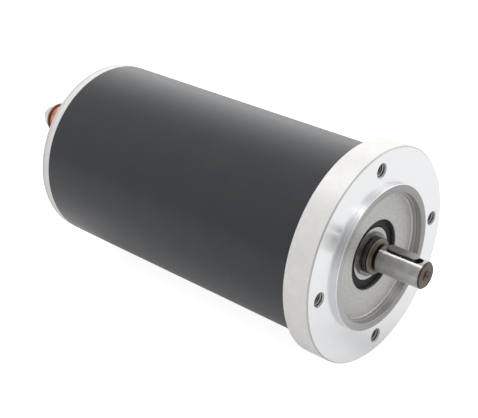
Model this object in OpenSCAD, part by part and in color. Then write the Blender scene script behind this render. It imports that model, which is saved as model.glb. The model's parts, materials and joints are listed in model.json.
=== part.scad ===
// Brushed permanent-magnet DC motor with a face-mounting flange and a keyed shaft.
// The motor axis is X, with the shaft end towards +X. The origin is on the axis, in the
// plane of the flange's mounting face. Angles about X run from +Y towards +Z.

/* [Mounting flange] */
// Outer diameter of the flange
flange_d = 89; // [88:0.5:92]
// Thickness of the flange from its mounting face back to the tube
flange_t = 11.6; // [11:0.2:13]
// Diameter of the centring spigot
spigot_d = 60; // [58:1:62]
// Height of the centring spigot
spigot_h = 2.1; // [1.5:0.1:2.5]
// Pitch circle diameter of the mounting holes
mount_pcd = 75; // [74:0.5:76]
// Diameter of the mounting holes
mount_hole_d = 5; // [4:0.5:5]
// Depth of the mounting holes
mount_hole_depth = 10; // [8:0.5:10]

/* [Tube and covers] */
// Outer diameter of the steel tube
tube_d = 80; // [79:0.5:81]
// Wall thickness of the steel tube
tube_wall = 4; // [3.8:0.1:4.2]
// Length of the steel tube
tube_l = 137; // [137:0.5:139]
// Thickness of the rear cover's rim
rim_t = 4.8; // [4.2:0.2:5.2]
// Diameter of the rear cover's rim
rim_d = 79.6; // [78:0.2:80]

/* [Shaft] */
// Diameter of the output shaft
shaft_d = 11; // [10.6:0.1:11]
// Length of the output shaft in front of the mounting face
shaft_l = 21.6; // [21:0.1:24]
// Width of the key and its keyway
key_w = 4; // [3:1:4]
// Height of the key
key_h = 4; // [3.8:0.1:4.2]
// Length of the key
key_l = 14; // [12:1:15]
// Length of the keyway
keyway_l = 15.8; // [15.2:0.2:16]
// Depth of the keyway below the top of the shaft
keyway_depth = 2.8; // [2.5:0.1:2.8]

/* [Rotor and field] */
// Diameter of the rotor core
rotor_d = 54.6; // [54:0.2:55]
// Length of the rotor core
rotor_l = 75; // [70:1:75]
// Number of rotor slots, and of commutator bars
slots = 16; // [14:2:18]
// Inner diameter of the field magnets
magnet_bore_d = 56; // [55.6:0.2:57]
// Angle that each magnet covers
magnet_arc = 130; // [120:5:135]

/* [Terminals] */
// Distance of the terminals from the motor axis
terminal_r = 30; // [29:0.5:31]
// Diameter of the copper collar at each terminal
collar_d = 12; // [11.4:0.2:12.6]
// Height of the copper collar
collar_h = 5.5; // [4:0.5:8]

/* [Hidden] */
$fn = 96;

// Radial gap between pieces that are fitted into each other
fit_gap = 0.03;
edge = 0.3;

tube_r = tube_d / 2;
tube_bore_r = tube_r - tube_wall;
tube_front_x = -flange_t;
tube_rear_x = tube_front_x - tube_l;
rear_face_x = tube_rear_x - rim_t;

// Broken edges of the flange's rim and of its spigot
rim_chamfer = 0.5;
spigot_chamfer = 0.2;
// The turned recess inside the spigot, and the lip that the front bearing rests against
recess_r = 26.9;
recess_step_r = 26.3;
recess_step_x = -0.4;
recess_floor_x = -2.1;
lip_r = 14.45;
register_l = 3.4;
register_r = tube_bore_r - fit_gap;
front_hub_r = 23;
front_hub_x = tube_front_x - 6.9;

// Front bearing, 15 x 35 x 11: [outer radius, bore radius, width, pitch radius,
// ball radius, outer land radius, inner land radius, number of balls, front face]
front_bearing = [17.5, 7.5, 11, 12.5, 2.98, 14.9, 10.85, 8, -3.7];
// Rear bearing, 10 x 30 x 9
rear_bearing = [15, 5, 9, 10, 2.38, 12.2, 7.8, 8, -146.5];
ball_gap = 0.08;
circlip_t = 1.5;
circlip_groove_w = 1.6;
circlip_groove_r = 18.5;

// Rear cover: hub that holds the rear bearing, and its closed end
rear_hub_r = 19;
rear_hub_x = -144.5;
rear_seat_x = -156.5;
rear_boss_x = -159;
cover_inner_x = tube_rear_x + 3.6;
wave_h = 0.94;
wave_t = 0.35;
wave_n = 72;

// Long bolts that clamp the tube between flange and cover, in the gaps of the field
tie_r = 31.6;
tie_angles = [45, 225];
tie_d = 5;
tie_head_r = 4.25;
tie_head_h = 5;
tie_seat_x = rear_face_x + 4.2;
tie_tip_x = -5;

// Field: two arc magnets centred between the bolts
magnet_angles = [135, 315];
magnet_front_x = -36;
magnet_rear_x = -119;
clip_t = 0.8;

// Rotor stations along the axis
core_front_x = -40;
core_rear_x = core_front_x - rotor_l;
core_bore_r = 9;
end_fibre_t = 1;
front_turns_x = -29.5;
rear_turns_x = core_rear_x - 10.5;
turns_r = 24.6;
band_w = 4;
slot_mouth = 2;
slot_top_r = rotor_d / 2 - 1.6;
slot_top_w = 5.6;
slot_floor_r = 14.5;
slot_floor_w = 2.4;

// Commutator and brushes
commutator_r = 13;
bar_rear_x = -142.5;
bar_front_x = -127;
riser_rear_x = -130;
riser_r = 14.8;
bar_depth = 3.4;
bar_slit = 0.7;
commutator_seat_r = 6.5;
brush_front_x = -132.5;
brush_rear_x = -141.5;
brush_w = 6.4;
brush_l = 12;
brush_gap = 0.05;
holder_wall = 0.8;
holder_gap = 0.1;
holder_inner_r = 15.6;
holder_outer_r = 34.2;
brush_top_r = commutator_r + brush_gap + brush_l;
spring_r = 2.4;
spring_wire_r = 0.3;
spring_turns = 6;
spring_end_r = holder_outer_r - holder_wall;
plate_t = 2;
plate_inner_r = 21.5;
plate_outer_r = 35;
plate_screw_r = 29;

// Terminals, opposite each other
terminal_angles = [135, 315];
stud_r = 3;
bush_r = 4.4;
bush_flange_r = 6.4;
bush_flange_t = 0.7;
stud_head_h = 3;
stud_head_r = 5.6;
inner_washer_r = 5.8;
collar_rear_x = rear_face_x - bush_flange_t - collar_h;
washer_t = 0.6;
washer_r = 6.8;
nut_hex_r = 5.8;
nut_hex_h = 4;
dome_r = 4.7;
lead_r = 0.9;
lead_x = cover_inner_x + 6;

// Shaft details in front of the bearing
circlip_x = front_bearing[8];
shaft_clip_t = 1;
shaft_clip_r = 9;
shaft_clip_groove_r = 7.15;
seat_front_x = 0;
neck_r = 5.95;
neck_x = 0.8;
undercut_r = 4.5;
undercut_x = 2;
shaft_chamfer = 0.6;
key_x = 4;
keyway_floor_z = shaft_d / 2 - keyway_depth;
key_chamfer = 0.25;
centre_hole_r = 1.65;
centre_hole_l = 9;
centre_cone_r = 2.3;
centre_cone_l = 1.1;

// A body turned about the motor axis, from its [radius, x] outline
module turned(outline) {
    rotate([0, 90, 0]) rotate_extrude(convexity = 8) polygon(outline);
}

// A ring about the motor axis, between two stations
module ring(r_in, r_out, x_rear, x_front) {
    turned([[r_in, x_rear], [r_out, x_rear], [r_out, x_front], [r_in, x_front]]);
}

// A round rod along the motor axis, between two stations
module rod(r, x_rear, x_front) {
    translate([x_rear, 0, 0]) rotate([0, 90, 0]) cylinder(r = r, h = x_front - x_rear);
}

// A cone along the motor axis
module cone(r_rear, r_front, x_rear, x_front) {
    translate([x_rear, 0, 0]) rotate([0, 90, 0])
        cylinder(r1 = r_rear, r2 = r_front, h = x_front - x_rear);
}

// A hexagonal rod along the motor axis; r reaches its corners
module hex_rod(r, x_rear, x_front) {
    translate([x_rear, 0, 0]) rotate([0, 90, 0])
        cylinder(r = r, h = x_front - x_rear, $fn = 6);
}

// Copies of a piece at the given angles and distance from the axis
module around(angles, distance) {
    for (a = angles) rotate([a, 0, 0]) translate([0, distance, 0]) children();
}

// A ring sector about the axis: it starts at angle a and covers sweep degrees
module sector(r_in, r_out, x_rear, x_front, a, sweep) {
    rotate([a, 0, 0]) rotate([0, 90, 0]) rotate([0, 0, 90])
        rotate_extrude(angle = sweep)
            translate([r_in, x_rear]) square([r_out - r_in, x_front - x_rear]);
}

// A drawing in the YZ plane, extruded between two stations
module slice(x_rear, x_front) {
    translate([x_rear, 0, 0]) rotate([90, 0, 90])
        linear_extrude(height = x_front - x_rear) children();
}

module housing_tube() {
    color([0.16, 0.16, 0.17]) turned([
        [tube_bore_r, tube_rear_x], [tube_r - edge, tube_rear_x],
        [tube_r, tube_rear_x + edge], [tube_r, tube_front_x - edge],
        [tube_r - edge, tube_front_x], [tube_bore_r, tube_front_x]]);
}

// The flange is also the front end bell: it holds the front bearing from behind.
module front_flange() {
    hole_r = mount_hole_d / 2;
    countersink_w = 0.6;
    countersink_l = 0.45;
    seat_r = front_bearing[0] + fit_gap / 3;
    lip_x = front_bearing[8];
    groove_x = lip_x - front_bearing[2];
    color([0.86, 0.86, 0.85]) difference() {
        turned([
            [lip_r, lip_x], [lip_r, recess_floor_x - 0.15],
            [lip_r + 0.15, recess_floor_x], [recess_step_r - 0.4, recess_floor_x],
            [recess_step_r, recess_floor_x + 0.4], [recess_step_r, recess_step_x],
            [recess_r, recess_step_x], [recess_r, spigot_h - 0.15],
            [recess_r + 0.15, spigot_h], [spigot_d / 2 - spigot_chamfer, spigot_h],
            [spigot_d / 2, spigot_h - spigot_chamfer], [spigot_d / 2, 0],
            [flange_d / 2 - rim_chamfer, 0], [flange_d / 2, -rim_chamfer],
            [flange_d / 2, tube_front_x + edge], [flange_d / 2 - edge, tube_front_x],
            [register_r, tube_front_x], [register_r, tube_front_x - register_l + edge],
            [register_r - edge, tube_front_x - register_l],
            [front_hub_r, tube_front_x - register_l], [front_hub_r, front_hub_x],
            [seat_r, front_hub_x], [seat_r, groove_x - circlip_groove_w],
            [circlip_groove_r, groove_x - circlip_groove_w],
            [circlip_groove_r, groove_x], [seat_r, groove_x], [seat_r, lip_x]]);
        around([0, 90, 180, 270], mount_pcd / 2) {
            rod(hole_r, -mount_hole_depth, 1);
            cone(hole_r, hole_r + countersink_w, -countersink_l, 0);
            cone(0, hole_r, -mount_hole_depth - hole_r / 2, -mount_hole_depth);
        }
        around(tie_angles, tie_r)
            rod(tie_d / 2, tube_front_x - register_l - 1, tie_tip_x + 1);
    }
}

module rear_cover() {
    seat_r = rear_bearing[0] + fit_gap / 3;
    color([0.84, 0.84, 0.83]) difference() {
        turned([
            [0, rear_seat_x], [0, rear_boss_x], [rear_hub_r - 1.2, rear_boss_x],
            [rear_hub_r, rear_boss_x + 1.2], [rear_hub_r, rear_face_x],
            [rim_d / 2 - 0.6, rear_face_x], [rim_d / 2, rear_face_x + 0.6],
            [rim_d / 2, tube_rear_x], [register_r, tube_rear_x],
            [register_r, cover_inner_x - edge], [register_r - edge, cover_inner_x],
            [rear_hub_r, cover_inner_x], [rear_hub_r, rear_hub_x],
            [seat_r, rear_hub_x], [seat_r, rear_seat_x]]);
        around(tie_angles, tie_r) {
            rod(tie_d / 2 + 0.25, rear_face_x - 1, cover_inner_x + 1);
            rod(tie_head_r + 0.3, rear_face_x - 1, tie_seat_x);
        }
        around(terminal_angles, terminal_r) rod(bush_r + fit_gap, rear_face_x - 1, cover_inner_x + 1);
        around([0, 180], plate_screw_r) rod(1.5, cover_inner_x - 3.5, cover_inner_x + 1);
    }
}

module field_magnets() {
    color([0.24, 0.24, 0.25]) for (a = magnet_angles)
        sector(magnet_bore_d / 2, tube_bore_r - fit_gap, magnet_rear_x, magnet_front_x,
            a - magnet_arc / 2, magnet_arc);
}

// Spring strips that press the magnets apart, with a leg against each magnet's side
module magnet_clips() {
    outer_r = tube_bore_r - 2 * fit_gap;
    inner_r = magnet_bore_d / 2 + 1;
    gap = 180 - magnet_arc - 1;
    leg = 1.6;
    x_rear = magnet_rear_x + 5;
    x_front = magnet_front_x - 5;
    color([0.70, 0.71, 0.73]) for (a = tie_angles) difference() {
        sector(inner_r, outer_r, x_rear, x_front, a - gap / 2, gap);
        sector(inner_r - 1, outer_r - clip_t, x_rear - 1, x_front + 1,
            a - gap / 2 + leg, gap - 2 * leg);
    }
}

module tie_bolts() {
    socket_r = 2.3;
    color([0.30, 0.30, 0.31]) around(tie_angles, tie_r) difference() {
        turned([
            [0, tie_seat_x - tie_head_h], [tie_head_r - 0.4, tie_seat_x - tie_head_h],
            [tie_head_r, tie_seat_x - tie_head_h + 0.4], [tie_head_r, tie_seat_x],
            [tie_d / 2 - fit_gap, tie_seat_x], [tie_d / 2 - fit_gap, tie_tip_x - 0.5],
            [tie_d / 2 - 0.5, tie_tip_x], [0, tie_tip_x]]);
        hex_rod(socket_r, tie_seat_x - tie_head_h - 1, tie_seat_x - tie_head_h + 2.5);
    }
}

// Outer ring of a ball bearing, with its ball groove
module bearing_outer(b) {
    mid_x = b[8] - b[2] / 2;
    rotate([0, 90, 0]) rotate_extrude() difference() {
        translate([b[5], b[8] - b[2]]) square([b[0] - b[5], b[2]]);
        translate([b[3], mid_x]) circle(r = b[4] + ball_gap);
    }
}

// Inner ring of a ball bearing, with its ball groove and rounded bore corners
module bearing_inner(b) {
    mid_x = b[8] - b[2] / 2;
    corner = 0.5;
    bore = b[1] + fit_gap / 3;
    rotate([0, 90, 0]) rotate_extrude() difference() {
        polygon([
            [bore, b[8] - b[2] + corner], [bore + corner, b[8] - b[2]],
            [b[6], b[8] - b[2]], [b[6], b[8]], [bore + corner, b[8]],
            [bore, b[8] - corner]]);
        translate([b[3], mid_x]) circle(r = b[4] + ball_gap);
    }
}

module bearing_balls(b) {
    mid_x = b[8] - b[2] / 2;
    for (i = [0 : b[7] - 1]) rotate([i * 360 / b[7], 0, 0])
        translate([mid_x, b[3], 0]) sphere(r = b[4]);
}

// Ring with a round pocket for each ball
module bearing_cage(b) {
    mid_x = b[8] - b[2] / 2;
    half_w = b[4] + 0.7;
    difference() {
        ring(b[3] - 0.5, b[3] + 0.5, mid_x - half_w, mid_x + half_w);
        for (i = [0 : b[7] - 1]) rotate([i * 360 / b[7], 0, 0])
            translate([mid_x, b[3] + 2, 0]) rotate([90, 0, 0]) cylinder(r = b[4] + fit_gap, h = 4);
    }
}

// Two closing discs, just inside the bearing's faces
module bearing_discs(b, thickness) {
    inset = 0.2;
    r_in = b[6] + 0.3;
    r_out = b[5] - fit_gap / 3;
    ring(r_in, r_out, b[8] - inset - thickness, b[8] - inset);
    ring(r_in, r_out, b[8] - b[2] + inset, b[8] - b[2] + inset + thickness);
}

module front_bearing_outer() {
    color([0.74, 0.74, 0.75]) bearing_outer(front_bearing);
}

module front_bearing_inner() {
    color([0.74, 0.74, 0.75]) bearing_inner(front_bearing);
}

module front_bearing_balls() {
    color([0.85, 0.85, 0.86]) bearing_balls(front_bearing);
}

module front_bearing_cage() {
    color([0.62, 0.60, 0.56]) bearing_cage(front_bearing);
}

module front_bearing_seals() {
    color([0.07, 0.07, 0.08]) bearing_discs(front_bearing, 0.8);
}

module rear_bearing_outer() {
    color([0.74, 0.74, 0.75]) bearing_outer(rear_bearing);
}

module rear_bearing_inner() {
    color([0.74, 0.74, 0.75]) bearing_inner(rear_bearing);
}

module rear_bearing_balls() {
    color([0.85, 0.85, 0.86]) bearing_balls(rear_bearing);
}

module rear_bearing_cage() {
    color([0.62, 0.60, 0.56]) bearing_cage(rear_bearing);
}

module rear_bearing_shields() {
    color([0.66, 0.66, 0.67]) bearing_discs(rear_bearing, 0.4);
}

// Internal circlip that keeps the front bearing against the flange's lip
module bearing_circlip() {
    x_front = front_bearing[8] - front_bearing[2] - (circlip_groove_w - circlip_t) / 2;
    x_rear = x_front - circlip_t;
    inner_r = 15.8;
    gap = 24;
    lug_r = 1.9;
    lug_hole_r = 0.9;
    color([0.14, 0.14, 0.15]) difference() {
        union() {
            sector(inner_r, circlip_groove_r - 0.05, x_rear, x_front, gap / 2, 360 - gap);
            around([gap / 2 + 3, -gap / 2 - 3], inner_r - 0.4) rod(lug_r, x_rear, x_front);
        }
        around([gap / 2 + 3, -gap / 2 - 3], inner_r - 0.5)
            rod(lug_hole_r, x_rear - 1, x_front + 1);
    }
}

// Height of the wavy spring washer's surface at a given angle
function wave(a) = (wave_h - wave_t) / 2 * (1 + cos(3 * a));

// One corner of the washer's section: i counts around it, k around the section
function wave_point(i, k) = let(
    a = i * 360 / wave_n,
    r = (k == 0 || k == 3) ? 10.6 : 14.4,
    x = rear_seat_x + 0.03 + wave(a) + (k > 1 ? wave_t : 0)) [x, r * cos(a), r * sin(a)];

module wave_washer() {
    points = [for (i = [0 : wave_n - 1]) for (k = [0 : 3]) wave_point(i, k)];
    faces = [for (i = [0 : wave_n - 1]) for (k = [0 : 3])
        let(j = (i + 1) % wave_n, m = (k + 1) % 4)
            [4 * i + k, 4 * j + k, 4 * j + m, 4 * i + m]];
    color([0.72, 0.72, 0.74]) polyhedron(points = points, faces = faces, convexity = 4);
}

// Insulating plate on the rear cover that carries both brush holders
module brush_plate() {
    color([0.42, 0.26, 0.14]) difference() {
        ring(plate_inner_r, plate_outer_r, cover_inner_x, cover_inner_x + plate_t);
        around(tie_angles, tie_r) rod(tie_d / 2 + 0.6, cover_inner_x - 1, cover_inner_x + plate_t + 1);
        around(terminal_angles, terminal_r)
            rod(bush_flange_r + 0.5, cover_inner_x - 1, cover_inner_x + plate_t + 1);
        around([0, 180], plate_screw_r) rod(1.7, cover_inner_x - 1, cover_inner_x + plate_t + 1);
    }
}

module brush_plate_screws() {
    head_x = cover_inner_x + plate_t;
    color([0.72, 0.72, 0.74]) around([0, 180], plate_screw_r) difference() {
        union() {
            rod(1.5 - fit_gap, cover_inner_x - 3, head_x);
            rod(2.8, head_x, head_x + 1.8);
        }
        translate([head_x + 1, -0.4, -3]) cube([1, 0.8, 6]);
    }
}

// Brass box around each brush, open towards the commutator, closed behind the spring
module brush_holders() {
    half_w = brush_w / 2 + holder_gap;
    x0 = brush_rear_x - holder_gap;
    x1 = brush_front_x + holder_gap;
    color([0.80, 0.64, 0.32]) for (a = [0, 180]) rotate([a, 0, 0]) difference() {
        translate([x0 - holder_wall, -half_w - holder_wall, holder_inner_r])
            cube([x1 - x0 + 2 * holder_wall, 2 * (half_w + holder_wall),
                holder_outer_r - holder_inner_r]);
        translate([x0, -half_w, holder_inner_r - 1])
            cube([x1 - x0, 2 * half_w, spring_end_r - holder_inner_r + 1]);
    }
}

// A carbon brush above the commutator, its foot hollowed to the commutator's curve
module carbon_brush() {
    color([0.20, 0.20, 0.21]) difference() {
        translate([brush_rear_x, -brush_w / 2, commutator_r - 1])
            cube([brush_front_x - brush_rear_x, brush_w, brush_top_r - commutator_r + 1]);
        rod(commutator_r + brush_gap, brush_rear_x - 1, brush_front_x + 1);
    }
}

module carbon_brush_top() {
    carbon_brush();
}

module carbon_brush_bottom() {
    rotate([180, 0, 0]) carbon_brush();
}

// Ring of points around the spring's wire, at a given turn angle
function wire_ring(a, sides) = let(
    free = spring_end_r - brush_top_r - 2 * spring_wire_r - 0.1,
    mid_x = (brush_front_x + brush_rear_x) / 2,
    z = brush_top_r + 0.05 + spring_wire_r + free * a / (360 * spring_turns))
    [for (k = [0 : sides - 1]) let(
        q = k * 360 / sides,
        r = spring_r + spring_wire_r * cos(q))
        [mid_x + r * cos(a), r * sin(a), z + spring_wire_r * sin(q)]];

// Coil spring between a brush and the closed end of its holder
module brush_spring() {
    sides = 6;
    steps = spring_turns * 18;
    points = [for (i = [0 : steps]) each wire_ring(i * 360 * spring_turns / steps, sides)];
    walls = [for (i = [0 : steps - 1]) for (k = [0 : sides - 1])
        let(m = (k + 1) % sides)
            [i * sides + k, i * sides + m, (i + 1) * sides + m, (i + 1) * sides + k]];
    first = [for (k = [sides - 1 : -1 : 0]) k];
    last = [for (k = [0 : sides - 1]) steps * sides + k];
    color([0.74, 0.74, 0.75])
        polyhedron(points = points, faces = concat(walls, [first, last]), convexity = 10);
}

module brush_spring_top() {
    brush_spring();
}

module brush_spring_bottom() {
    rotate([180, 0, 0]) brush_spring();
}

// Curved copper leads from each terminal's inner end to the side of a brush holder
module brush_leads() {
    holder_half = brush_w / 2 + holder_gap + holder_wall;
    end_angle = asin((holder_half + 0.05) / terminal_r);
    sweep = 45 - end_angle;
    color([0.72, 0.42, 0.28]) for (a = [90 + end_angle, 270 + end_angle])
        rotate([a, 0, 0]) rotate([0, 90, 0]) rotate([0, 0, 90])
            rotate_extrude(angle = sweep) translate([terminal_r, lead_x]) circle(r = lead_r);
}

module terminal_studs() {
    head_x = cover_inner_x + 1;
    tip_x = collar_rear_x - washer_t - nut_hex_h - 1.5;
    color([0.76, 0.66, 0.44]) around(terminal_angles, terminal_r) {
        rod(stud_r, tip_x, head_x);
        hex_rod(stud_head_r, head_x, head_x + stud_head_h);
        rod(stud_r, head_x + stud_head_h, lead_x - lead_r);
    }
}

// Insulating bush through the cover, with a flange under the copper collar
module terminal_bushes() {
    color([0.10, 0.10, 0.11]) around(terminal_angles, terminal_r) {
        ring(stud_r + fit_gap, bush_r, rear_face_x - 0.01, cover_inner_x);
        ring(stud_r + fit_gap, bush_flange_r, rear_face_x - bush_flange_t, rear_face_x - 0.01);
    }
}

module terminal_inner_washers() {
    color([0.42, 0.26, 0.14]) around(terminal_angles, terminal_r)
        ring(stud_r + fit_gap, inner_washer_r, cover_inner_x, cover_inner_x + 1);
}

module terminal_collars() {
    r = collar_d / 2;
    front_x = rear_face_x - bush_flange_t;
    color([0.80, 0.45, 0.30]) around(terminal_angles, terminal_r) turned([
        [stud_r + fit_gap, collar_rear_x], [r - 0.5, collar_rear_x],
        [r, collar_rear_x + 0.5], [r, front_x - 0.3], [r - 0.3, front_x],
        [stud_r + fit_gap, front_x]]);
}

module terminal_washers() {
    color([0.20, 0.19, 0.18]) around(terminal_angles, terminal_r)
        ring(stud_r + fit_gap, washer_r, collar_rear_x - washer_t, collar_rear_x);
}

// Domed nut: a hexagon with a rounded cap over the stud's end
module terminal_nuts() {
    hex_front_x = collar_rear_x - washer_t;
    hex_rear_x = hex_front_x - nut_hex_h;
    flat = nut_hex_r * cos(30);
    color([0.80, 0.81, 0.82]) around(terminal_angles, terminal_r) difference() {
        union() {
            intersection() {
                hex_rod(nut_hex_r, hex_rear_x, hex_front_x);
                cone(flat - 0.2, nut_hex_r + 1.6, hex_rear_x, hex_front_x);
            }
            translate([hex_rear_x + 1.2, 0, 0]) intersection() {
                sphere(r = dome_r);
                rod(dome_r + 1, -dome_r - 1, -1);
            }
        }
        rod(stud_r + fit_gap, hex_rear_x - 1.6, hex_front_x + 1);
    }
}

// A bar with round ends lying along X, from station x0, its top edges chamfered
module round_ended_bar(x0, length, width, z0, z1, chamfer) {
    r = width / 2;
    for (x = [x0 + r, x0 + length - r]) translate([x, 0, 0]) {
        translate([0, 0, z0]) cylinder(r = r, h = z1 - z0 - chamfer);
        translate([0, 0, z1 - chamfer]) cylinder(r1 = r, r2 = r - chamfer, h = chamfer);
    }
    translate([x0 + r, 0, 0]) rotate([90, 0, 90]) linear_extrude(height = length - width)
        polygon([[-r, z0], [r, z0], [r, z1 - chamfer], [r - chamfer, z1],
            [chamfer - r, z1], [-r, z1 - chamfer]]);
}

module shaft() {
    r = shaft_d / 2;
    seat_r = front_bearing[1];
    clip_front_x = circlip_x + shaft_clip_t + 0.05;
    front_shoulder_x = front_bearing[8] - front_bearing[2];
    shoulder_r = 9;
    rear_shoulder_x = rear_bearing[8];
    color([0.62, 0.61, 0.60]) difference() {
        turned([
            [0, rear_shoulder_x - rear_bearing[2]],
            [rear_bearing[1] - 0.5, rear_shoulder_x - rear_bearing[2]],
            [rear_bearing[1], rear_shoulder_x - rear_bearing[2] + 0.5],
            [rear_bearing[1], rear_shoulder_x], [commutator_seat_r, rear_shoulder_x],
            [commutator_seat_r, core_rear_x - 4], [shoulder_r, core_rear_x - 4],
            [shoulder_r, front_shoulder_x], [seat_r, front_shoulder_x],
            [seat_r, circlip_x - 0.05], [shaft_clip_groove_r, circlip_x - 0.05],
            [shaft_clip_groove_r, clip_front_x], [seat_r - 0.1, clip_front_x],
            [seat_r, clip_front_x + 0.1], [seat_r, seat_front_x - 0.4],
            [seat_r - 0.4, seat_front_x], [neck_r + 0.2, seat_front_x + 0.1],
            [neck_r, seat_front_x + 0.3], [neck_r, neck_x], [undercut_r, neck_x + 0.1],
            [undercut_r, undercut_x - 0.2], [r, undercut_x], [r, shaft_l - shaft_chamfer],
            [r - shaft_chamfer, shaft_l], [0, shaft_l]]);
        round_ended_bar(key_x, keyway_l, key_w, keyway_floor_z, r + 2, 0.01);
        rod(centre_hole_r, shaft_l - centre_hole_l, shaft_l + 1);
        cone(centre_hole_r, centre_cone_r, shaft_l - centre_cone_l, shaft_l);
    }
}

module shaft_key() {
    color([0.30, 0.30, 0.31]) round_ended_bar(key_x + 0.02, key_l, key_w - 0.04,
        keyway_floor_z + 0.02, keyway_floor_z + key_h, key_chamfer);
}

// External circlip in front of the front bearing, its two lugs on the lower side
module shaft_circlip() {
    gap = 50;
    middle = -45;
    lug_r = 1.2;
    lug_at = shaft_clip_r - 0.6;
    lug_turn = gap / 2 + 4;
    color([0.24, 0.22, 0.20]) difference() {
        union() {
            sector(shaft_clip_groove_r + fit_gap, shaft_clip_r, circlip_x,
                circlip_x + shaft_clip_t, middle + gap / 2, 360 - gap);
            around([middle + lug_turn, middle - lug_turn], lug_at)
                rod(lug_r, circlip_x, circlip_x + shaft_clip_t);
        }
        around([middle + lug_turn, middle - lug_turn], lug_at)
            rod(0.55, circlip_x - 1, circlip_x + shaft_clip_t + 1);
        ring(shaft_clip_groove_r - 1, shaft_clip_groove_r + fit_gap, circlip_x - 1,
            circlip_x + shaft_clip_t + 1);
    }
}

// Outline of one slot, narrow at the rim and at its floor; shrink narrows it all round
module slot_outline(shrink) {
    top = slot_top_w / 2 - shrink;
    floor_half = slot_floor_w / 2 - shrink;
    polygon([[slot_floor_r + shrink, -floor_half], [slot_top_r - shrink, -top],
        [slot_top_r - shrink, top], [slot_floor_r + shrink, floor_half]]);
}

// Outline of a lamination: a toothed disc with a bore for the shaft
module lamination() {
    difference() {
        circle(r = rotor_d / 2);
        circle(r = core_bore_r + fit_gap / 3);
        for (i = [0 : slots - 1]) rotate(i * 360 / slots) {
            slot_outline(0);
            translate([slot_top_r - 0.1, -slot_mouth / 2]) square([4, slot_mouth]);
        }
    }
}

module rotor_core() {
    color([0.45, 0.45, 0.47]) slice(core_rear_x, core_front_x) lamination();
}

module end_insulators() {
    color([0.72, 0.58, 0.36]) {
        slice(core_front_x, core_front_x + end_fibre_t) lamination();
        slice(core_rear_x - end_fibre_t, core_rear_x) lamination();
    }
}

// Copper coils: a bar in each slot, joined by a round bundle of end turns at each end
module windings() {
    inner_r = core_bore_r + 1.5;
    color([0.74, 0.40, 0.22]) {
        for (i = [0 : slots - 1])
            slice(core_rear_x - end_fibre_t, core_front_x + end_fibre_t)
                rotate(i * 360 / slots) slot_outline(0.2);
        turned([
            [inner_r, core_front_x + end_fibre_t], [turns_r, core_front_x + end_fibre_t],
            [turns_r, front_turns_x - 3], [turns_r - 3, front_turns_x],
            [inner_r + 3, front_turns_x], [inner_r, front_turns_x - 3]]);
        turned([
            [inner_r, core_rear_x - end_fibre_t], [inner_r, rear_turns_x + 3],
            [inner_r + 3, rear_turns_x], [turns_r - 3, rear_turns_x],
            [turns_r, rear_turns_x + 3], [turns_r, core_rear_x - end_fibre_t]]);
    }
}

// Glass tape bound around each bundle of end turns
module winding_bands() {
    color([0.86, 0.84, 0.78]) {
        ring(turns_r + 0.01, turns_r + 0.6, core_front_x + 2, core_front_x + 2 + band_w);
        ring(turns_r + 0.01, turns_r + 0.6, core_rear_x - 2 - band_w, core_rear_x - 2);
    }
}

// One copper bar of the commutator, with its riser towards the core
module commutator_bars() {
    inner = commutator_r - bar_depth;
    turn = 360 / slots;
    slit_inner = bar_slit / inner * 180 / PI;
    color([0.76, 0.46, 0.30]) for (i = [0 : slots - 1]) {
        sector(inner, commutator_r, bar_rear_x, riser_rear_x, i * turn, turn - slit_inner);
        sector(inner, riser_r, riser_rear_x, bar_front_x, i * turn, turn - slit_inner);
    }
}

// Moulded hub that holds the bars on the shaft
module commutator_hub() {
    color([0.36, 0.20, 0.14])
        ring(commutator_seat_r + fit_gap / 3, commutator_r - bar_depth - 0.01,
            bar_rear_x - 1, bar_front_x + 1);
}

housing_tube();
front_flange();
rear_cover();
field_magnets();
magnet_clips();
tie_bolts();
front_bearing_outer();
front_bearing_seals();
bearing_circlip();
rear_bearing_outer();
rear_bearing_shields();
wave_washer();
brush_plate();
brush_plate_screws();
brush_holders();
brush_spring_top();
brush_spring_bottom();
brush_leads();
terminal_studs();
terminal_bushes();
terminal_inner_washers();
terminal_collars();
terminal_washers();
terminal_nuts();
shaft();
shaft_key();
shaft_circlip();
front_bearing_inner();
rear_bearing_inner();
rotor_core();
end_insulators();
windings();
winding_bands();
commutator_bars();
commutator_hub();
front_bearing_balls();
front_bearing_cage();
rear_bearing_balls();
rear_bearing_cage();
carbon_brush_top();
carbon_brush_bottom();
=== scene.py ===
"""The looks of a face-mounted permanent-magnet DC motor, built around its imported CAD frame.

Everything is in metres in the CAD frame. The motor axis is X with the shaft end towards +X,
the origin is in the flange's mounting face, +Z is up, and angles about X run from +Y to +Z.
"""

import json
import math

import bmesh
import bpy
from mathutils import Matrix, Vector


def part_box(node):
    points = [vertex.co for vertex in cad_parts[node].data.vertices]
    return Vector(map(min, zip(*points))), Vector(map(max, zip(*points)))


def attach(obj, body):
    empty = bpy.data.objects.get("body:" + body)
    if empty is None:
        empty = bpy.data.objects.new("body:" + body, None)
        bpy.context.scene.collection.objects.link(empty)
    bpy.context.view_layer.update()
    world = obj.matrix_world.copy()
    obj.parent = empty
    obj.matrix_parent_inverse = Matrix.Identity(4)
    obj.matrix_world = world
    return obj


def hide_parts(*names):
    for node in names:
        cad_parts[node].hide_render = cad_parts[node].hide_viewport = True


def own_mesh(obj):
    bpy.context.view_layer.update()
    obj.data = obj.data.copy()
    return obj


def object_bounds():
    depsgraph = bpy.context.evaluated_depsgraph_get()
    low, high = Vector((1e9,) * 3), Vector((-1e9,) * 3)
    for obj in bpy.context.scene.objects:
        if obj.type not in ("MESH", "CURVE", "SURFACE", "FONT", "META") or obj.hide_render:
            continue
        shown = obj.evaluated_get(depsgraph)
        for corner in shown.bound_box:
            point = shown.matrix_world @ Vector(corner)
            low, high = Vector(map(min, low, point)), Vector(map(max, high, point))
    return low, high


MM = 0.001

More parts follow.
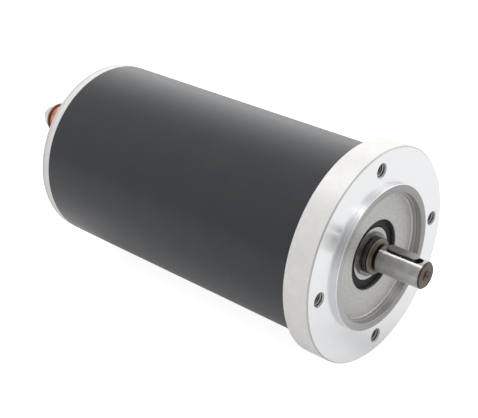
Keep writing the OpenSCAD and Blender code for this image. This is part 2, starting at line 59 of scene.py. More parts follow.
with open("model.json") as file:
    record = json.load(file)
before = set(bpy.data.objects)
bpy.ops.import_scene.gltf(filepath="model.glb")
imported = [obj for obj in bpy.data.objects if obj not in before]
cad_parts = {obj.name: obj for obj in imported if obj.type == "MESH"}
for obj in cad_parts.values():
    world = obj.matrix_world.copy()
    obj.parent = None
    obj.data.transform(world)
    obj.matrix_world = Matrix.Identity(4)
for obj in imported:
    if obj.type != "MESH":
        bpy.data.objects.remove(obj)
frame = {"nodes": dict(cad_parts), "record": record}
nodes = frame["nodes"]
cad_low, cad_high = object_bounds()

# Millimetres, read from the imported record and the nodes' boxes
mounts = {mount["name"]: mount for mount in frame["record"]["mounts"]}
HOLE_CIRCLE_R = mounts["flange_bolts"]["dims"]["pcd_mm"] / 2
HOLE_R = mounts["flange_bolts"]["dims"]["hole_r_mm"]
SPIGOT_R = mounts["flange_spigot"]["dims"]["r_mm"]
FLANGE_R = cad_high.z / MM
TUBE_REAR_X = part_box("housing_tube")[0].x / MM
SHAFT_END_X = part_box("shaft")[1].x / MM

# Millimetres, as in the CAD source
RECESS_R = 26.9
BEARING_LIP_R = 14.45
SHAFT_R = 5.5
CENTRE_CONE_R = 2.3
SHAFT_CHAMFER = 0.6
RECESS_FLOOR_X = -2.1
NECK_X = 0.8
UNDERCUT_X = 2.0


# ---------------------------------------------------------------- material building blocks


class Finish:
    """A procedural material: one Principled shader, and short calls for the nodes around it.

    Lengths are in millimetres, because the pattern coordinates are the piece's own
    coordinates in millimetres."""

    def __init__(self, name, roughness, metallic=0.0, **fixed):
        self.material = bpy.data.materials.new(name)
        self.material.use_nodes = True
        self.tree = self.material.node_tree
        self.shader = self.tree.nodes["Principled BSDF"]
        self.shader.inputs["Roughness"].default_value = roughness
        self.shader.inputs["Metallic"].default_value = metallic
        for socket, value in fixed.items():
            self.shader.inputs[socket.replace("_", " ")].default_value = value
        coordinates = self.tree.nodes.new("ShaderNodeTexCoord")
        self.normal = coordinates.outputs["Normal"]
        self.place = self.vector("SCALE", coordinates.outputs["Object"], scale=1 / MM)
        self.relief = None

    def connect(self, value, socket):
        if isinstance(value, bpy.types.NodeSocket):
            self.tree.links.new(value, socket)
        else:
            socket.default_value = value

    def maths(self, operation, first, second=0.0, third=0.0):
        node = self.tree.nodes.new("ShaderNodeMath")
        node.operation = operation
        for value, socket in zip((first, second, third), node.inputs):
            self.connect(value, socket)
        return node.outputs[0]

    def vector(self, operation, first, second=(0, 0, 0), scale=1.0):
        node = self.tree.nodes.new("ShaderNodeVectorMath")
        node.operation = operation
        self.connect(first, node.inputs[0])
        if operation == "SCALE":
            node.inputs["Scale"].default_value = scale
        elif operation != "LENGTH":
            self.connect(second, node.inputs[1])
        return node.outputs["Value" if operation in ("LENGTH", "DOT_PRODUCT") else "Vector"]

    def axis(self, name):
        node = self.tree.nodes.new("ShaderNodeSeparateXYZ")
        self.connect(self.place, node.inputs[0])
        return node.outputs[name]

    def radius(self):
        """Distance from the motor axis."""
        return self.vector("LENGTH", self.vector("MULTIPLY", self.place, (0, 1, 1)))

    def angle(self):
        """Angle about the motor axis, in radians."""
        return self.maths("ARCTAN2", self.axis("Z"), self.axis("Y"))

    def facing_axis(self):
        """1 on faces square to the motor axis, and 0 on the turned walls around it."""
        along = self.vector("DOT_PRODUCT", self.normal, (1, 0, 0))
        return self.step(self.maths("ABSOLUTE", along), 0.6, 0.8)

    def step(self, value, low, high, out_low=0.0, out_high=1.0):
        """Goes from out_low to out_high as value goes from low to high."""
        node = self.tree.nodes.new("ShaderNodeMapRange")
        node.interpolation_type = "SMOOTHSTEP"
        for given, socket in zip((value, low, high, out_low, out_high), node.inputs):
            self.connect(given, socket)
        return node.outputs[0]

    def span(self, value, out_low, out_high, low=0.25, high=0.75):
        """Spreads the middle of a noise over a range of values."""
        return self.step(value, low, high, out_low, out_high)

    def noise(self, size, detail=3.0, stretch=(1, 1, 1), rough=0.55):
        """Grains of about the given size, drawn out along an axis by its stretch."""
        node = self.tree.nodes.new("ShaderNodeTexNoise")
        squeeze = tuple(1 / s for s in stretch)
        self.connect(self.vector("MULTIPLY", self.place, squeeze), node.inputs["Vector"])
        node.inputs["Scale"].default_value = 1 / size
        node.inputs["Detail"].default_value = detail
        node.inputs["Roughness"].default_value = rough
        return node.outputs[0]

    def lines(self, along, pitch, detail=2.0):
        """Uneven lines across one coordinate, such as turning or grinding marks."""
        node = self.tree.nodes.new("ShaderNodeTexNoise")
        node.noise_dimensions = "1D"
        self.connect(along, node.inputs["W"])
        node.inputs["Scale"].default_value = 1 / pitch
        node.inputs["Detail"].default_value = detail
        return node.outputs[0]

    def cells(self, size):
        """Distance to the nearest of many scattered points, about the given size apart."""
        node = self.tree.nodes.new("ShaderNodeTexVoronoi")
        self.connect(self.place, node.inputs["Vector"])
        node.inputs["Scale"].default_value = 1 / size
        return node.outputs["Distance"]

    def near_hole(self, reach):
        """1 within the given distance of the axis of the nearest mounting hole."""
        offset = self.maths("SUBTRACT", self.maths("ABSOLUTE", self.axis("Y")), HOLE_CIRCLE_R)
        beside = self.maths("ABSOLUTE", self.axis("Z"))
        upright = self.maths("SUBTRACT", beside, HOLE_CIRCLE_R)
        across = self.maths("ABSOLUTE", self.axis("Y"))
        side = self.maths("SQRT", self.sum_of_squares(offset, beside))
        top = self.maths("SQRT", self.sum_of_squares(upright, across))
        return self.step(self.maths("MINIMUM", side, top), reach + 0.1, reach)

    def sum_of_squares(self, first, second):
        squared = self.maths("MULTIPLY", first, first)
        return self.maths("MULTIPLY_ADD", second, second, squared)

    def wave(self, along, pitch):
        """An even ripple of the given pitch, from 0 to 1."""
        turns = self.maths("MULTIPLY", along, 2 * math.pi / pitch)
        return self.maths("MULTIPLY_ADD", self.maths("SINE", turns), 0.5, 0.5)

    def blend(self, share, first, second):
        """A colour between first, at share 0, and second, at share 1."""
        node = self.tree.nodes.new("ShaderNodeMix")
        node.data_type = "RGBA"
        for value, socket in zip((share, first, second), (node.inputs[i] for i in (0, 6, 7))):
            whole = value if not isinstance(value, tuple) else (*value, 1.0)
            self.connect(whole, socket)
        return node.outputs[2]

    def choose(self, share, first, second):
        """A number between first, at share 0, and second, at share 1."""
        node = self.tree.nodes.new("ShaderNodeMix")
        for value, socket in zip((share, first, second), (node.inputs[i] for i in (0, 2, 3))):
            self.connect(value, socket)
        return node.outputs[0]

    def colour(self, value):
        self.connect(value, self.shader.inputs["Base Color"])

    def roughness(self, value):
        self.connect(value, self.shader.inputs["Roughness"])

    def bump(self, height, depth, strength=1.0):
        """Adds relief of the given depth in millimetres; calls add up."""
        node = self.tree.nodes.new("ShaderNodeBump")
        self.connect(height, node.inputs["Height"])
        self.connect(strength, node.inputs["Strength"])
        node.inputs["Distance"].default_value = depth * MM
        if self.relief is not None:
            self.tree.links.new(self.relief, node.inputs["Normal"])
        self.relief = node.outputs[0]
        self.tree.links.new(self.relief, self.shader.inputs["Normal"])

    def turned_tangent(self, turn):
        """Stretches highlights across the turning marks around the motor axis."""
        node = self.tree.nodes.new("ShaderNodeTangent")
        node.direction_type = "RADIAL"
        node.axis = "X"
        self.shader.inputs["Anisotropic Rotation"].default_value = turn
        self.tree.links.new(node.outputs[0], self.shader.inputs["Tangent"])


# ---------------------------------------------------------------- finishes of the shell


def black_paint():
    """Satin black coating on the steel tube, with a faint orange peel."""
    f = Finish("black_paint", 0.42, Specular_IOR_Level=0.5, Specular_Tint=(0.93, 0.965, 1.0, 1.0))
    patches = f.span(f.noise(14), 0, 1)
    f.colour(f.blend(patches, (0.0110, 0.0125, 0.0155), (0.0145, 0.0160, 0.0195)))
    f.roughness(f.span(f.noise(2.2, detail=4), 0.27, 0.32))
    f.bump(f.noise(2.4, detail=1), 0.006, 0.3)
    return f.material


def turned_aluminium():
    """Bare aluminium flange: mirror-like turned face, fine blasted rim and a matt recess."""
    f = Finish("turned_aluminium", 0.3, metallic=1.0, Anisotropic=0.7, Specular_IOR_Level=0.2)
    radius = f.radius()
    x = f.axis("X")
    face = f.facing_axis()
    wall = f.maths("SUBTRACT", 1.0, face)
    marks = f.lines(radius, 0.5)
    grain = f.span(f.noise(1.0, detail=4), 0, 1)

    # Masks: 1 inside the named zone
    rim = f.maths("MULTIPLY", wall, f.step(radius, FLANGE_R - 2, FLANGE_R - 1))
    spigot_wall = f.maths("MULTIPLY", wall, f.step(radius, SPIGOT_R + 0.4, SPIGOT_R + 0.2))
    inside = f.step(radius, SPIGOT_R - 0.1, SPIGOT_R - 0.3)
    recess = f.step(radius, RECESS_R + 0.1, RECESS_R - 0.1)
    floor = f.maths("MULTIPLY", recess, face)
    bore = f.step(radius, BEARING_LIP_R + 0.35, BEARING_LIP_R + 0.15)
    slope = f.vector("DOT_PRODUCT", f.normal, (1, 0, 0))
    chamfer = f.maths("MULTIPLY", f.step(slope, 0.55, 0.62), f.step(slope, 0.9, 0.8))
    rim_chamfer_shade = f.maths("MULTIPLY", chamfer, f.step(radius, FLANGE_R - 0.9, FLANGE_R - 0.7))
    countersink_shade = f.maths("MULTIPLY", chamfer, f.near_hole(HOLE_R + 0.7))
    tapped_hole_shade = f.maths("MULTIPLY", f.near_hole(HOLE_R + 0.15), f.step(x, -0.4, -0.6))

    # Tones: each zone is laid over the ones before it
    mottle = f.choose(0.5, f.span(f.noise(7), 0, 1), grain)
    streaks = f.span(marks, 0, 1)
    tone = f.blend(streaks, (0.80, 0.81, 0.82), (0.83, 0.84, 0.85))
    ring = f.blend(streaks, (0.275, 0.27, 0.265), (0.33, 0.325, 0.315))
    for zone, zone_tone in (
        (rim, f.blend(mottle, (0.64, 0.63, 0.61), (0.73, 0.72, 0.70))),
        (spigot_wall, f.blend(f.lines(x, 0.4), (0.60, 0.60, 0.63), (0.80, 0.80, 0.83))),
        # Spigot ring face: painted lighter towards -Y, a painted reflection of the floor on that
        # side.
        (inside, f.blend(f.step(f.axis("Y"), 4, -26), ring, (0.43, 0.425, 0.415))),
        # Recess wall: painted dark in bands along x, painted shade inside the recess.
        (recess, f.blend(f.lines(x, 0.5), (0.28, 0.26, 0.245), (0.66, 0.645, 0.63))),
        # Recess floor: darker than the face, partly its matt finish and partly painted shade in
        # the recess.
        (floor, f.blend(grain, (0.46, 0.455, 0.44), (0.575, 0.57, 0.55))),
        # Rim chamfer: painted grey, a painted shade line between the rim and the face.
        (rim_chamfer_shade, (0.46, 0.46, 0.465)),
        # Countersinks: painted darker, painted shade round the holes' mouths.
        (countersink_shade, (0.34, 0.34, 0.345)),
        # Bearing bore lip and tapped hole walls: painted dark, painted shade inside the holes.
        (f.maths("MAXIMUM", bore, tapped_hole_shade), (0.32, 0.315, 0.31)),
    ):
        tone = f.blend(zone, tone, zone_tone)
    f.colour(tone)

    rough = f.span(marks, 0.19, 0.21)
    rough = f.choose(f.maths("MAXIMUM", inside, wall), rough, 0.34)
    rough = f.choose(rim, rough, f.span(f.noise(1.5), 0.46, 0.56))
    f.roughness(f.choose(floor, rough, 0.48))
    matt = f.maths("MAXIMUM", rim, floor)
    f.connect(f.choose(rim, f.choose(floor, 1.0, 0.6), 0.3), f.shader.inputs["Metallic"])
    f.bump(f.noise(0.35, detail=2), 0.012, f.maths("MULTIPLY", matt, 0.5))
    f.turned_tangent(0.25)
    return f.material


def rear_aluminium():
    """Rear cover: turned face, and the same fine blasted rim as the flange, its rear half painted
    darker as painted shade.
    """
    f = Finish("rear_aluminium", 0.3, metallic=1.0, Anisotropic=0.5, Specular_IOR_Level=0.2)
    radius = f.radius()
    x = f.axis("X")
    face = f.facing_axis()
    wall = f.maths("SUBTRACT", 1.0, face)
    rim_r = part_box("rear_cover")[1].z / MM
    rim_middle_x = TUBE_REAR_X - 2.4
    rim = f.maths("MULTIPLY", wall, f.step(radius, rim_r - 1.8, rim_r - 1.3))
    rear_half = f.step(x, rim_middle_x, rim_middle_x - 0.4)
    marks = f.choose(face, f.lines(x, 0.25), f.lines(radius, 0.45))
    mottle = f.span(f.noise(9), 0, 1)
    tone = f.blend(mottle, (0.76, 0.755, 0.74), (0.86, 0.855, 0.845))
    # Rim halves: the rear half is painted darker than the front half, painted shade on the rim.
    front_tone = f.blend(mottle, (0.65, 0.64, 0.62), (0.70, 0.69, 0.67))
    rear_tone = f.blend(mottle, (0.54, 0.535, 0.525), (0.59, 0.585, 0.575))
    f.colour(f.blend(rim, tone, f.blend(rear_half, front_tone, rear_tone)))
    f.roughness(f.choose(rim, f.span(marks, 0.26, 0.38), 0.5))
    f.connect(f.choose(rim, 1.0, 0.3), f.shader.inputs["Metallic"])
    f.bump(marks, 0.006, f.choose(rim, 0.7, 0.1))
    f.bump(f.noise(0.5, detail=2), 0.006, 0.4)
    f.turned_tangent(0.25)
    return f.material


def steel(name, dark, light, roughness, metallic=1.0, grain=1.2, marks=0.3, depth=0.003):
    """Plain machined or plated steel, mottled between two tones."""
    f = Finish(name, roughness, metallic=metallic)
    f.colour(f.blend(f.span(f.noise(grain, detail=4), 0, 1), dark, light))
    face = f.facing_axis()
    turning = f.choose(face, f.lines(f.axis("X"), marks), f.lines(f.radius(), marks))
    f.roughness(f.span(turning, roughness - 0.05, roughness + 0.07))
    f.bump(turning, depth, 0.6)
    return f.material


def ground_steel():
    """The shaft: ground across its length, with painted reflection bands, brown and dark, on its
    shoulder.
    """
    f = Finish("ground_steel", 0.3, metallic=1.0, Anisotropic=1.0)
    x = f.axis("X")
    face = f.facing_axis()
    radius = f.radius()
    # Masks: 1 inside the named zone. The dark painted line ends, and the brown painted corner band
    # begins, short of the shoulder's corner.
    band_end_x = -0.62
    shoulder = f.step(x, RECESS_FLOOR_X, RECESS_FLOOR_X + 0.2)
    line = f.maths("MULTIPLY", f.step(x, band_end_x - 0.43, band_end_x - 0.33),
                   f.step(x, band_end_x, band_end_x - 0.08))
    corner = f.step(x, band_end_x, band_end_x + 0.12)
    neck = f.step(x, NECK_X - 0.05, NECK_X + 0.05)
    ground = f.step(x, UNDERCUT_X - 0.25, UNDERCUT_X - 0.1)
    front_part = f.step(x, SHAFT_END_X / 2 - 1, SHAFT_END_X / 2)
    on_end = f.maths("MULTIPLY", face, front_part)
    chamfer = f.maths("MULTIPLY", f.step(x, SHAFT_END_X - SHAFT_CHAMFER, SHAFT_END_X - 0.55),
                      f.step(radius, SHAFT_R - 0.65, SHAFT_R - 0.55))
    bored = f.maths("MULTIPLY", front_part,
                    f.step(radius, CENTRE_CONE_R + 0.2, CENTRE_CONE_R + 0.05))

    # Tones, from the bearing towards the shaft's end
    tone = (0.115, 0.112, 0.110)
    for zone, zone_tone in (
        # Shoulder, line and corner: painted reflection bands, brown and dark, on the shaft's
        # shoulder.
        (shoulder, f.blend(f.span(f.noise(1.4), 0, 1), (0.12, 0.10, 0.088), (0.23, 0.205, 0.185))),
        (line, (0.035, 0.03, 0.027)),
        (corner, (0.16, 0.135, 0.115)),
        # Neck: painted dark, painted shade in the undercut.
        (neck, (0.05, 0.042, 0.036)),
        (ground, f.blend(f.span(f.noise(2.4), 0, 1), (0.42, 0.415, 0.41), (0.50, 0.495, 0.49))),
        # Shaft end: face painted brown as a painted reflection, chamfer painted dark and centre
        # hole painted brown as painted shade.
        (on_end, f.blend(f.span(f.noise(1.0), 0, 1), (0.125, 0.105, 0.09), (0.19, 0.165, 0.145))),
        (chamfer, (0.07, 0.062, 0.06)),
        (bored, (0.17, 0.13, 0.105)),
    ):
        tone = f.blend(zone, tone, zone_tone)
    f.colour(tone)
    marks = f.choose(face, f.lines(x, 0.16), f.lines(radius, 0.3))
    f.roughness(f.choose(on_end, f.span(marks, 0.27, 0.31), 0.42))
    f.bump(marks, 0.0006, 0.5)
    f.turned_tangent(0.25)
    return f.material


def key_steel():
    """Cold-drawn key steel: fine lines drawn along its length, upward faces painted light and
    walls painted dark as painted shade.
    """
    f = Finish("key_steel", 0.38, metallic=1.0)
    drawn = f.noise(0.22, detail=3, stretch=(14, 1, 1))
    upward_lit = f.step(f.vector("DOT_PRODUCT", f.normal, (0, 0, 1)), 0.3, 0.6)
    streaks = f.span(drawn, 0, 1)
    # Walls painted dark as painted shade in the keyway gap; upward faces painted lighter as
    # painted light from above.
    walls = f.blend(streaks, (0.035, 0.034, 0.033), (0.075, 0.073, 0.070))
    f.colour(f.blend(upward_lit, walls, f.blend(streaks, (0.24, 0.24, 0.24), (0.34, 0.335, 0.33))))
    f.roughness(f.span(drawn, 0.30, 0.44))
    f.bump(drawn, 0.008, 0.6)
    return f.material


def seal_rubber():
    """Moulded nitrile of the bearing seals, with faint flow lines around it."""
    f = Finish("seal_rubber", 0.5, Specular_IOR_Level=0.2)
    f.colour(f.blend(f.noise(0.7), (0.006, 0.007, 0.009), (0.016, 0.018, 0.022)))
    rings = f.wave(f.radius(), 0.62)
    f.roughness(f.span(f.noise(0.5), 0.42, 0.56))
    f.bump(rings, 0.02, 0.4)
    f.bump(f.noise(0.12, detail=2), 0.006, 0.6)
    return f.material


def copper(name, dark, light, roughness):
    """Bare copper, tarnished in patches."""
    f = Finish(name, roughness, metallic=1.0)
    tarnish = f.span(f.noise(2.0, detail=5, rough=0.65), 0, 1)
    f.colour(f.blend(tarnish, dark, light))
    marks = f.choose(f.facing_axis(), f.lines(f.axis("X"), 0.2), f.lines(f.radius(), 0.25))
    f.roughness(f.span(tarnish, roughness + 0.1, roughness - 0.05))
    f.bump(marks, 0.004, 0.6)
    return f.material


def moulded(name, dark, light, roughness):
    """Moulded plastic or resin with a spark-eroded texture."""
    f = Finish(name, roughness)
    grain = 0.25
    f.colour(f.blend(f.span(f.noise(3.5, detail=4), 0, 1), dark, light))
    f.roughness(f.span(f.noise(grain * 3), roughness - 0.06, roughness + 0.08))
    f.bump(f.noise(grain, detail=2), 0.012, 0.6)
    return f.material


# ---------------------------------------------------------------- finishes inside the motor


def ferrite():
    """Sintered ferrite: charcoal and matt, with fine pores and grinding lines in the bore."""
    f = Finish("ferrite", 0.62)
    pores = f.step(f.cells(0.5), 0.0, 0.22)
    grain = f.blend(f.span(f.noise(1.1), 0, 1), (0.030, 0.030, 0.032), (0.060, 0.060, 0.062))
    f.colour(f.blend(pores, (0.018, 0.018, 0.019), grain))
    f.roughness(f.span(f.noise(0.6), 0.54, 0.70))
    f.bump(pores, 0.03, 0.5)
    f.bump(f.noise(0.16, stretch=(20, 1, 1)), 0.006, 0.6)
    return f.material


def phenolic():
    """Paper-laminate board, brown with faint layers and fibres."""
    f = Finish("phenolic", 0.45, Specular_IOR_Level=0.5)
    fibre = f.noise(0.35, detail=4, stretch=(1, 9, 2))
    layers = f.wave(f.axis("X"), 0.25)
    board = f.blend(f.span(fibre, 0, 1), (0.135, 0.052, 0.018), (0.235, 0.105, 0.040))
    f.colour(f.blend(f.maths("MULTIPLY", layers, 0.35), board, (0.09, 0.035, 0.014)))
    f.roughness(f.span(fibre, 0.38, 0.54))
    f.bump(fibre, 0.015, 0.5)
    return f.material


def lamination_steel():
    """The rotor's stacked sheets: thin dark gaps between varnished blue-grey edges."""
    f = Finish("lamination_steel", 0.36, metallic=0.85)
    sheet = 0.5
    edges = f.step(f.wave(f.axis("X"), sheet), 0.06, 0.30)
    tone = f.lines(f.axis("X"), sheet, detail=0)
    bright = f.blend(f.span(tone, 0, 1), (0.24, 0.25, 0.27), (0.40, 0.41, 0.43))
    f.colour(f.blend(edges, (0.035, 0.030, 0.028), bright))
    f.roughness(f.span(f.noise(1.2), 0.30, 0.46))
    f.bump(edges, 0.04, 0.7)
    return f.material


def fibre():
    """Grey-green vulcanised fibre under the end turns."""
    f = Finish("fibre", 0.7)
    felt = f.noise(0.3, detail=5, stretch=(1, 4, 4))
    f.colour(f.blend(f.span(felt, 0, 1), (0.16, 0.185, 0.15), (0.29, 0.31, 0.25)))
    f.roughness(f.span(felt, 0.60, 0.80))
    f.bump(felt, 0.03, 0.6)
    return f.material


def enamelled_copper():
    """Varnished magnet wire."""
    f = Finish("enamelled_copper", 0.26, metallic=0.9, Coat_Weight=0.6, Coat_Roughness=0.12)
    varnish = f.span(f.noise(2.6, detail=5), 0, 1)
    f.colour(f.blend(varnish, (0.28, 0.085, 0.028), (0.52, 0.19, 0.065)))
    f.roughness(f.span(varnish, 0.34, 0.20))
    f.bump(f.noise(0.7, detail=2), 0.012, 0.5)
    return f.material


def glass_tape():
    """Woven glass tape, soaked in varnish."""
    f = Finish("glass_tape", 0.5, Coat_Weight=0.3, Coat_Roughness=0.25)
    warp = f.wave(f.maths("MULTIPLY", f.angle(), 24.5), 0.9)
    weft = f.wave(f.axis("X"), 0.7)
    weave = f.maths("MULTIPLY", warp, weft)
    f.colour(f.blend(weave, (0.36, 0.27, 0.15), (0.66, 0.58, 0.42)))
    f.roughness(f.span(weave, 0.58, 0.42, 0.0, 1.0))
    f.bump(weave, 0.10, 0.7)
    return f.material


def carbon():
    """Electrographite brush, with a few metallic specks."""
    f = Finish("carbon", 0.55, metallic=0.1)
    specks = f.step(f.cells(0.45), 0.10, 0.02)
    block = f.blend(f.span(f.noise(0.8), 0, 1), (0.020, 0.020, 0.021), (0.045, 0.044, 0.043))
    f.colour(f.blend(specks, block, (0.30, 0.20, 0.13)))
    f.roughness(f.span(f.noise(0.5), 0.46, 0.64))
    f.bump(f.noise(0.3, detail=3), 0.02, 0.5)
    return f.material


finishes = {
    "black_paint": black_paint(),
    "turned_aluminium": turned_aluminium(),
    "rear_aluminium": rear_aluminium(),
    "ferrite": ferrite(),
    "spring_steel": steel("spring_steel", (0.42, 0.42, 0.43), (0.60, 0.60, 0.61), 0.28),
    "black_steel": steel("black_steel", (0.035, 0.035, 0.038), (0.070, 0.068, 0.068), 0.36, 0.75),
    "bearing_steel": steel("bearing_steel", (0.40, 0.385, 0.365), (0.48, 0.465, 0.445), 0.26),
    "seal_rubber": seal_rubber(),
    "zinc_steel": steel("zinc_steel", (0.58, 0.61, 0.66), (0.74, 0.74, 0.73), 0.30, grain=3.0),
    "phenolic": phenolic(),
    "brass": steel("brass", (0.56, 0.38, 0.13), (0.72, 0.53, 0.22), 0.28),
    "bare_copper": copper("bare_copper", (0.52, 0.20, 0.10), (0.80, 0.42, 0.28), 0.28),
    "black_plastic": moulded("black_plastic", (0.018, 0.018, 0.019), (0.032, 0.031, 0.030), 0.46),
    "copper": copper("copper", (0.50, 0.20, 0.09), (0.82, 0.42, 0.28), 0.26),
    "dark_washer": steel("dark_washer", (0.28, 0.21, 0.165), (0.42, 0.33, 0.265), 0.42),
    "nickel_plate": steel("nickel_plate", (0.60, 0.62, 0.61), (0.74, 0.76, 0.75), 0.2, grain=4.0),
    "ground_steel": ground_steel(),
    "key_steel": key_steel(),
    "clip_steel": steel("clip_steel", (0.12, 0.116, 0.112), (0.25, 0.24, 0.23), 0.24),
    "lamination_steel": lamination_steel(),
    "fibre": fibre(),
    "enamelled_copper": enamelled_copper(),
    "glass_tape": glass_tape(),
    "moulded_resin": moulded("moulded_resin", (0.055, 0.022, 0.014), (0.085, 0.036, 0.022), 0.4),
    "ball_steel": steel("ball_steel", (0.62, 0.62, 0.63), (0.68, 0.68, 0.69), 0.08, marks=1.5,
                        depth=0.0004),
    "carbon": carbon(),
}

node_slot = {part["node"]: part["material_slot"] for part in frame["record"]["subparts"]}
for name, node in nodes.items():
    node.data.materials.clear()
    node.data.materials.append(finishes[node_slot[name]])


# ---------------------------------------------------------------- pieces added to the CAD nodes


def add_piece(name, mesh, body, slot):
    """Puts a mesh in the scene as a piece of the given body, with the finish of a slot."""
    piece = bpy.data.objects.new(name, mesh)
    bpy.context.scene.collection.objects.link(piece)
    mesh.materials.append(finishes[slot])
    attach(piece, body)
    return piece


def mesh_from(name, vertices, faces):
    """A mesh with its faces turned outward, smooth except at its sharp edges."""
    mesh = bpy.data.meshes.new(name)
    mesh.from_pydata(vertices, [], faces)
    shape = bmesh.new()
    shape.from_mesh(mesh)
    bmesh.ops.recalc_face_normals(shape, faces=shape.faces)
    shape.to_mesh(mesh)
    shape.free()
    mesh.shade_smooth()
    mesh.set_sharp_from_angle(angle=math.radians(35))
    return mesh


def thread_ridge(vertices, faces, centre, x_rear, x_front, hole_r, depth, pitch):
    """One internal thread: a ridge that winds around a hole parallel to the motor axis."""
    steps = 24
    wall_r, crest_r = hole_r + 0.02, hole_r - depth
    # Radius, and distance along the axis as a share of the pitch
    profile = ((wall_r, -0.44), (crest_r, -0.08), (crest_r, 0.08), (wall_r, 0.44))
    count = int((x_front - x_rear) / pitch * steps) + 1
    first = len(vertices)
    for i in range(count):
        a = 2 * math.pi * i / steps
        x = x_rear + pitch * i / steps
        for r, offset in profile:
            place = (x + offset * pitch, centre[0] + r * math.cos(a), centre[1] + r * math.sin(a))
            vertices.append([v * MM for v in place])
    sides = len(profile)
    for i in range(count - 1):
        for j in range(sides):
            k = (j + 1) % sides
            a, b = first + i * sides, first + (i + 1) * sides
            faces.append((a + j, a + k, b + k, b + j))
    faces.append(tuple(range(first, first + sides)))
    last = first + (count - 1) * sides
    faces.append(tuple(range(last + sides - 1, last - 1, -1)))


def mounting_threads():
    """The M5 threads in the four mounting holes."""
    vertices, faces = [], []
    for i in range(4):
        a = i * math.pi / 2
        centre = (HOLE_CIRCLE_R * math.cos(a), HOLE_CIRCLE_R * math.sin(a))
        thread_ridge(vertices, faces, centre, x_rear=-9.4, x_front=-1.0, hole_r=HOLE_R,
                     depth=0.36, pitch=0.8)
    add_piece("mounting_threads", mesh_from("mounting_threads", vertices, faces), "stator",
              "turned_aluminium")


def centre_thread():
    """The M4 thread in the shaft's centre hole."""
    hole = mounts["shaft_centre_hole"]
    middle = hole["pos_m"][0] / MM
    half = hole["dims"]["length_mm"] / 2
    vertices, faces = [], []
    thread_ridge(vertices, faces, (0, 0), x_rear=middle - half + 0.4,
                 x_front=middle + half - 0.5, hole_r=hole["dims"]["r_mm"], depth=0.25, pitch=0.7)
    add_piece("centre_thread", mesh_from("centre_thread", vertices, faces), "rotor",
              "ground_steel")


def coil(centre_x, inner_z, length, coil_r, wire_r, outward):
    """A compression spring along Z, with one closed turn at each end, as (vertices, faces).

    It starts at the height inner_z and goes outward: 1 along +Z, -1 along -Z."""
    active_turns, closed_turns = 5.0, 1.0
    closed_rise = 2.1 * wire_r
    active_rise = length - 2 * wire_r - 2 * closed_turns * closed_rise
    steps, sides = 28, 10
    count = int((active_turns + 2 * closed_turns) * steps) + 1
    vertices, faces = [], []
    for i in range(count):
        turned = i / steps
        near = min(turned, closed_turns) * closed_rise
        far = max(turned - closed_turns - active_turns, 0) * closed_rise
        active = min(max(turned - closed_turns, 0), active_turns) / active_turns
        wire_z = abs(inner_z) + wire_r + near + far + active * active_rise
        a = 2 * math.pi * turned
        for k in range(sides):
            q = 2 * math.pi * k / sides
            r = coil_r + wire_r * math.cos(q)
            z = wire_z + wire_r * math.sin(q)
            place = (centre_x + r * math.cos(a), outward * r * math.sin(a), outward * z)
            vertices.append([v * MM for v in place])
    for i in range(count - 1):
        this, after = i * sides, (i + 1) * sides
        for k in range(sides):
            m = (k + 1) % sides
            faces.append((this + k, this + m, after + m, after + k))
    faces.append(tuple(range(sides)))
    faces.append(tuple(range((count - 1) * sides, count * sides)))
    return vertices, faces


def brush_spring(name, outward):
    """The coil spring behind a brush, as long as the gap between the brush and its holder's end.
    """
    wire_r = 0.3
    low, high = (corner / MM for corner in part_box(name))
    brush_end, holder_end = sorted((low.z, high.z), key=abs)
    length = abs(holder_end - brush_end)
    coil_r = (high.y - low.y) / 2 - wire_r
    vertices, faces = coil((low.x + high.x) / 2, brush_end, length, coil_r, wire_r, outward)
    piece = add_piece(name + "_coil", mesh_from(name + "_coil", vertices, faces), "stator",
                      "spring_steel")
    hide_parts(name)
    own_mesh(piece)


mounting_threads()
centre_thread()
brush_spring("brush_spring_top", 1)
brush_spring("brush_spring_bottom", -1)

# ---------------------------------------------------------------- floor, light and camera

FLOOR_HALF_WIDTH = 12.0


def make_floor(level):
    """A white light table, lit a little from below, so the shadow on it is faint."""
    mesh = bpy.data.meshes.new("floor")
    shape = bmesh.new()
    bmesh.ops.create_grid(shape, x_segments=8, y_segments=8, size=FLOOR_HALF_WIDTH)
    shape.to_mesh(mesh)
    shape.free()
    floor = bpy.data.objects.new("floor", mesh)
    floor.location = (0, 0, level)
    bpy.context.scene.collection.objects.link(floor)
    f = Finish("floor_paper", 0.8, Specular_IOR_Level=0.1, Emission_Color=(1, 1, 1, 1))
    seen = f.tree.nodes.new("ShaderNodeLightPath").outputs["Is Camera Ray"]
    f.connect(f.choose(seen, 0.24, 0.85), f.shader.inputs["Emission Strength"])
    f.colour(f.blend(f.noise(60), (0.60, 0.60, 0.60), (0.62, 0.62, 0.62)))
    f.bump(f.noise(0.6), 0.02, 0.3)
    mesh.materials.append(f.material)


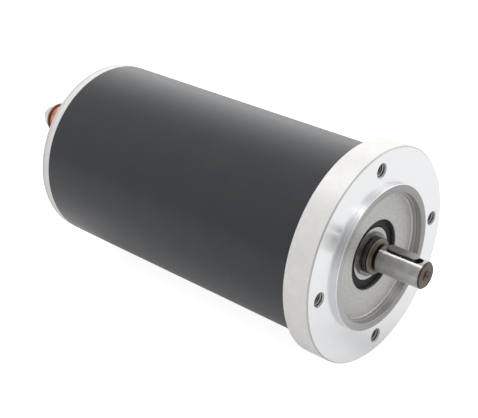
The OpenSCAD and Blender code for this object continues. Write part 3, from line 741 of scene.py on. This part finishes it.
def make_world():
    """A white room: brightest overhead, and dimmer towards the side that the camera stands on."""
    world = bpy.data.worlds.new("studio")
    bpy.context.scene.world = world
    world.use_nodes = True
    tree = world.node_tree
    background = tree.nodes["Background"]
    background.inputs["Strength"].default_value = 1.0
    direction = tree.nodes.new("ShaderNodeTexCoord").outputs["Generated"]

    def facing(towards, low, high, out_low, out_high):
        """Goes from out_low to out_high as the cosine to towards goes from low to high."""
        dot = tree.nodes.new("ShaderNodeVectorMath")
        dot.operation = "DOT_PRODUCT"
        dot.inputs[1].default_value = Vector(towards).normalized()
        tree.links.new(direction, dot.inputs[0])
        ramp = tree.nodes.new("ShaderNodeMapRange")
        ramp.interpolation_type = "SMOOTHSTEP"
        for value, socket in zip((low, high, out_low, out_high), ramp.inputs[1:5]):
            socket.default_value = value
        tree.links.new(dot.outputs["Value"], ramp.inputs[0])
        return ramp.outputs[0]

    overhead = facing((0, 0, 1), -0.1, 0.9, 0.78, 1.0)
    behind = facing((-0.45, 0.9, 0.0), 0.35, 0.98, 1.0, 1.95)
    dark_side = facing(camera_direction, 0.88, 0.995, 1.0, 0.40)
    product = overhead
    for share in (behind, dark_side):
        node = tree.nodes.new("ShaderNodeMath")
        node.operation = "MULTIPLY"
        tree.links.new(product, node.inputs[0])
        tree.links.new(share, node.inputs[1])
        product = node.outputs[0]
    seen = tree.nodes.new("ShaderNodeMix")
    tree.links.new(tree.nodes.new("ShaderNodeLightPath").outputs["Is Camera Ray"], seen.inputs[0])
    tree.links.new(product, seen.inputs[2])
    seen.inputs[3].default_value = 1.0
    tree.links.new(seen.outputs[0], background.inputs["Color"])


def add_softbox(name, place, target, size, power):
    """A rectangular lamp at place that faces target; size in metres, power in watts."""
    lamp = bpy.data.lights.new(name, "AREA")
    lamp.shape = "RECTANGLE"
    lamp.size, lamp.size_y = size
    lamp.energy = power
    light = bpy.data.objects.new(name, lamp)
    light.location = place
    light.rotation_mode = "QUATERNION"
    light.rotation_quaternion = (Vector(target) - Vector(place)).to_track_quat("-Z", "Y")
    bpy.context.scene.collection.objects.link(light)


# The camera's place about its target: azimuth from -Y towards +X, elevation, and roll
camera_azimuth, camera_elevation, camera_roll = map(math.radians, (42.27, 29.88, 2.02))
camera_target = Vector((-0.0700, -0.0021, -0.0027))
camera_distance = 0.4583
camera_direction = Vector((
    math.sin(camera_azimuth) * math.cos(camera_elevation),
    -math.cos(camera_azimuth) * math.cos(camera_elevation),
    math.sin(camera_elevation),
))


def make_camera():
    """A long lens at the photo's distance, turned by the photo's small roll."""
    data = bpy.data.cameras.new("camera")
    data.lens = 81.4
    data.sensor_width = 36
    camera = bpy.data.objects.new("camera", data)
    bpy.context.scene.collection.objects.link(camera)
    camera.rotation_mode = "QUATERNION"
    level = (-camera_direction).to_track_quat("-Z", "Y")
    tilt = Matrix.Rotation(-camera_roll, 3, "Z").to_quaternion()
    camera.location = camera_target + camera_direction * camera_distance
    camera.rotation_quaternion = level @ tilt
    bpy.context.scene.camera = camera


make_camera()
make_floor(cad_low.z)
make_world()
add_softbox("key_softbox", (0.02, -0.05, 0.9), (0, 0, 0), (0.26, 0.26), 2.4)
add_softbox("back_softbox", (0.45, 0.85, 0.55), (0.10, 0.22, -0.04), (0.8, 0.5), 0.8)
bpy.context.scene.view_settings.view_transform = "Standard"
